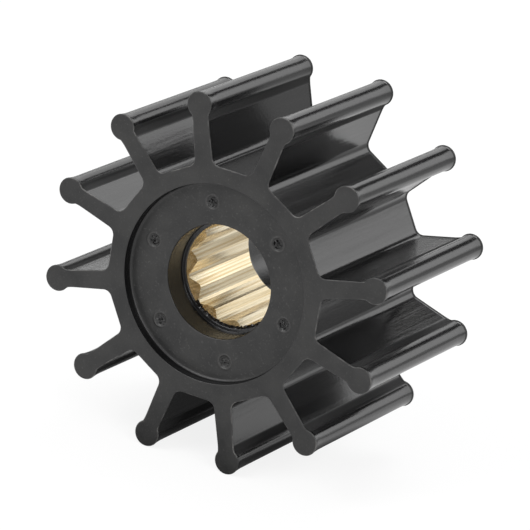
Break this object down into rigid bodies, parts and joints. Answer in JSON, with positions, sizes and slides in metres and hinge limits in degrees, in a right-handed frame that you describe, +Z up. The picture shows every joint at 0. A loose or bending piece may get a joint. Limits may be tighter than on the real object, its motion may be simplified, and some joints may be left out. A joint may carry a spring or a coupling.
{
  "type": "rubber pump impeller",
  "caption": "Flexible rubber impeller with straight beaded blades round a flat-sided hub, moulded on a splined brass bush.",
  "frame": {"origin": "on the shaft axis, half way between the two end faces", "axes": "+Y along the shaft axis from the front face to the back face; +Z up, as it rests on the beads of its two lowest blades; +X to the right, seen from the front"},
  "size_m": [0.0554, 0.0312, 0.0554],
  "materials": {
    "rubber": "moulded, matt end faces",
    "brass": "broached and turned"
  },
  "bodies": {
    "root": {"rubber_body": "rubber", "splined_bush": "brass"}
  },
  "joints": []
}
